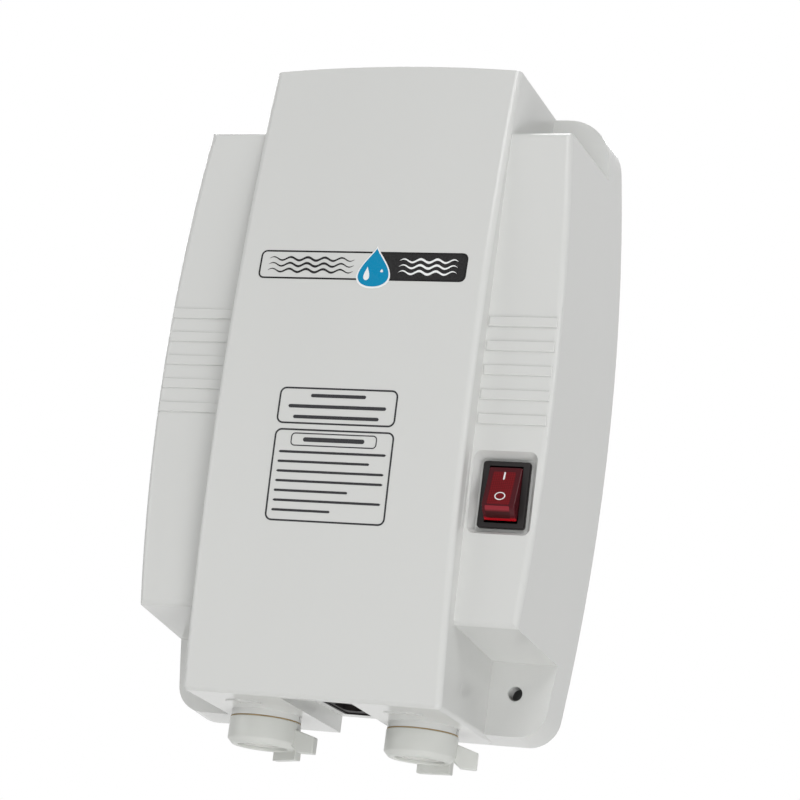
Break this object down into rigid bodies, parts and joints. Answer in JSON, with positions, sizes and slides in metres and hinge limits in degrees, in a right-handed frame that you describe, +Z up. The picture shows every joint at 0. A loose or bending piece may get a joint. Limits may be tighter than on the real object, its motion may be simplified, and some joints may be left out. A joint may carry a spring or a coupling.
{
  "type": "water bottle pump",
  "caption": "Wall-mounted electric pump for bottled drinking water, with a rocker switch in front and push-fit ports with lock rings under its housing.",
  "frame": {"origin": "on the wall, at the centre of the four mounting screw holes", "axes": "+Z up, -Y out from the wall towards the viewer, +X to the viewer's right"},
  "size_m": [0.1374, 0.0702, 0.2227],
  "materials": {
    "housing_white": "satin gloss moulded ABS",
    "plate_grey": "fine textured",
    "screw_steel": "zinc plated",
    "foot_rubber": "matt",
    "bezel_black": "gloss",
    "rocker_red": "translucent gloss",
    "lamp_glass": "clear",
    "contact_brass": "plain",
    "inlet_black": "satin",
    "fitting_white": "moulded acetal",
    "ring_white": "satin gloss moulded ABS",
    "seal_rubber": "matt",
    "hose_clear": "soft food-grade tube",
    "clamp_steel": "bright strip",
    "drive_black": "glass-filled nylon",
    "diaphragm_rubber": "matt",
    "head_black": "glass-filled nylon",
    "can_steel": "plated deep-drawn steel",
    "magnet_ferrite": "sintered ferrite",
    "brush_carbon": "pressed carbon",
    "core_steel": "laminated sheet",
    "winding_copper": "enamelled copper",
    "board_green": "solder mask",
    "capacitor_blue": "sleeve",
    "relay_blue": "moulded case",
    "fuse_glass": "clear tube",
    "lead_sleeve": "soft sleeve"
  },
  "bodies": {
    "housing": {"front_cover": "housing_white", "back_plate": "plate_grey", "cover_screws": "screw_steel", "rubber_feet": "foot_rubber", "switch_bezel": "bezel_black", "switch_lamp": "lamp_glass", "switch_terminals": "contact_brass", "power_inlet": "inlet_black", "inlet_pins": "contact_brass", "port_fitting_left": "fitting_white", "port_fitting_right": "fitting_white", "inlet_hose": "hose_clear", "outlet_hose": "hose_clear", "hose_clamps": "clamp_steel", "drive_housing": "drive_black", "diaphragm": "diaphragm_rubber", "valve_plate": "head_black", "check_valves": "diaphragm_rubber", "pump_head": "head_black", "head_screws": "screw_steel", "pressure_switch_body": "head_black", "pressure_spring": "screw_steel", "microswitch": "inlet_black", "motor_can": "can_steel", "motor_magnets": "magnet_ferrite", "motor_end_cap": "drive_black", "motor_brushes": "brush_carbon", "brush_springs": "contact_brass", "shaft_bearings": "contact_brass", "motor_bracket": "clamp_steel", "bracket_grommets": "foot_rubber", "bracket_screws": "screw_steel", "pump_screws": "screw_steel", "motor_strap": "clamp_steel", "circuit_board": "board_green", "board_screws": "screw_steel", "transformer_core": "core_steel", "transformer_winding": "winding_copper", "capacitor": "capacitor_blue", "rectifier": "inlet_black", "relay": "relay_blue", "fuse": "fuse_glass", "fuse_holder": "contact_brass", "internal_leads": "lead_sleeve"},
    "rocker": {"switch_rocker": "rocker_red"},
    "ring_left": {"lock_ring_left": "ring_white"},
    "ring_right": {"lock_ring_right": "ring_white"},
    "plug_left": {"port_plug_left": "fitting_white", "plug_seal_left": "seal_rubber"},
    "plug_right": {"port_plug_right": "fitting_white", "plug_seal_right": "seal_rubber"},
    "rotor": {"motor_shaft": "screw_steel", "rotor_core": "core_steel", "rotor_windings": "winding_copper", "commutator": "winding_copper", "cam_hub": "drive_black", "cam_bearing": "can_steel"},
    "wobbler": {"wobble_plate": "fitting_white"},
    "plunger": {"pressure_plunger": "fitting_white"}
  },
  "joints": [
    {"name": "rocker_tilt", "type": "hinge", "parent": "housing", "child": "rocker", "pos_m": [0.0522, -0.0573, -0.0361], "axis": [1, 0, 0], "range_deg": [0, 40]},
    {"name": "ring_left_turn", "type": "hinge", "parent": "housing", "child": "ring_left", "pos_m": [-0.026, -0.029, -0.108], "axis": [0, 0, 1], "range_deg": [0, 60]},
    {"name": "ring_right_turn", "type": "hinge", "parent": "housing", "child": "ring_right", "pos_m": [0.026, -0.029, -0.108], "axis": [0, 0, 1], "range_deg": [0, 60]},
    {"name": "plug_left_out", "type": "slide", "parent": "housing", "child": "plug_left", "axis": [0, 0, -1], "range_m": [0, 0.025]},
    {"name": "plug_right_out", "type": "slide", "parent": "housing", "child": "plug_right", "axis": [0, 0, -1], "range_m": [0, 0.025]},
    {"name": "motor_spin", "type": "hinge", "parent": "housing", "child": "rotor", "pos_m": [0, -0.036, 0.017], "axis": [0, 0, 1], "continuous": true},
    {"name": "wobble", "type": "hinge", "parent": "rotor", "child": "wobbler", "pos_m": [0, -0.036, 0.017], "axis": [0.0523, 0, 0.9986], "continuous": true},
    {"name": "plunger_press", "type": "slide", "parent": "housing", "child": "plunger", "axis": [0, 0, -1], "range_m": [0, 0.0015], "stiffness_N_per_m": 800, "springref_m": -0.001, "deforming": ["pressure_spring"]}
  ],
  "couplings": [
    {"joint": "wobble", "follows": "motor_spin", "ratio": -1}
  ]
}
